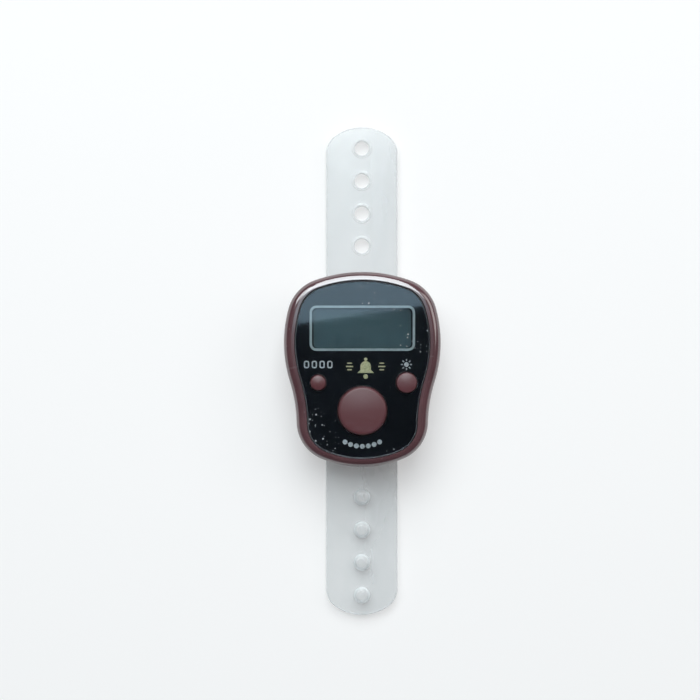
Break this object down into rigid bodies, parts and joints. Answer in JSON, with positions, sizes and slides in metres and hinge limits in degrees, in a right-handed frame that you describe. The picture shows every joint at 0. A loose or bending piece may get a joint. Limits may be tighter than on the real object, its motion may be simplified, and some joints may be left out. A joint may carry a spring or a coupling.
{
  "type": "finger tally counter",
  "caption": "Pear-shaped finger tally counter with a display, push buttons and a clear studded strap that wraps round the finger to count recited prayers.",
  "frame": {"origin": "under the middle of the case, on the surface that the strap bridges rest on", "axes": "+Z out of the face, +Y along the strap from the count button towards the display, +X to the right"},
  "size_m": [0.0282, 0.0915, 0.0141],
  "materials": {
    "case_plastic": "glossy moulded plum plastic",
    "face_plate": "clear polished acrylic",
    "face_ink": "black printed film",
    "button_plastic": "satin moulded plum plastic",
    "strap_plastic": "frosted clear soft plastic",
    "screw_steel": "plated steel",
    "board_laminate": "green lacquered laminate",
    "potting": "black epoxy",
    "chip_parts": "fired chip parts",
    "display_glass": "thin soda glass",
    "polariser_film": "grey polarising film",
    "white_plastic": "white moulded plastic",
    "guide_acrylic": "clear acrylic",
    "lamp_resin": "yellow lamp resin on white",
    "zebra_rubber": "layered conductive rubber",
    "switch_plastic": "black moulded plastic",
    "spring_steel": "sprung stainless sheet",
    "cell_steel": "nickel-plated steel",
    "brass_sheet": "rolled brass",
    "piezo_ceramic": "silvered ceramic",
    "lead_sheath": "soft insulation"
  },
  "bodies": {
    "case": {"front_shell": "case_plastic", "rear_cover": "case_plastic", "face_lens": "face_plate", "face_print": "face_ink", "case_screws": "screw_steel", "board_screws": "screw_steel", "circuit_board": "board_laminate", "controller_chip": "potting", "board_components": "chip_parts", "display_frame": "white_plastic", "lcd_front_polariser": "polariser_film", "lcd_front_glass": "display_glass", "lcd_rear_glass": "display_glass", "lcd_rear_polariser": "polariser_film", "light_guide": "guide_acrylic", "backlight_leds": "lamp_resin", "zebra_connector": "zebra_rubber", "count_switch": "switch_plastic", "count_dome": "spring_steel", "reset_switch": "switch_plastic", "reset_dome": "spring_steel", "light_switch": "switch_plastic", "light_dome": "spring_steel", "battery_left": "cell_steel", "battery_right": "cell_steel", "battery_link": "spring_steel", "positive_contact": "spring_steel", "negative_contact": "spring_steel", "buzzer_plate": "brass_sheet", "buzzer_ceramic": "piezo_ceramic", "buzzer_leads": "lead_sheath"},
    "count_key": {"count_button": "button_plastic", "count_plunger": "switch_plastic"},
    "reset_key": {"reset_button": "button_plastic", "reset_plunger": "switch_plastic"},
    "light_key": {"light_button": "button_plastic", "light_plunger": "switch_plastic"},
    "strap": {"strap": "strap_plastic"}
  },
  "joints": [
    {"name": "count_press", "type": "slide", "parent": "case", "child": "count_key", "axis": [0, 0, -1], "range_m": [0, 0.0003], "stiffness_N_per_m": 1500, "springref_m": -0.0002, "deforming": ["count_dome"]},
    {"name": "reset_press", "type": "slide", "parent": "case", "child": "reset_key", "axis": [0, 0, -1], "range_m": [0, 0.0003], "stiffness_N_per_m": 1500, "springref_m": -0.0002, "deforming": ["reset_dome"]},
    {"name": "light_press", "type": "slide", "parent": "case", "child": "light_key", "axis": [0, 0, -1], "range_m": [0, 0.0003], "stiffness_N_per_m": 1500, "springref_m": -0.0002, "deforming": ["light_dome"]},
    {"name": "strap_slide", "type": "slide", "parent": "case", "child": "strap", "axis": [0, 1, 0], "range_m": [-0.03, 0.004]}
  ]
}
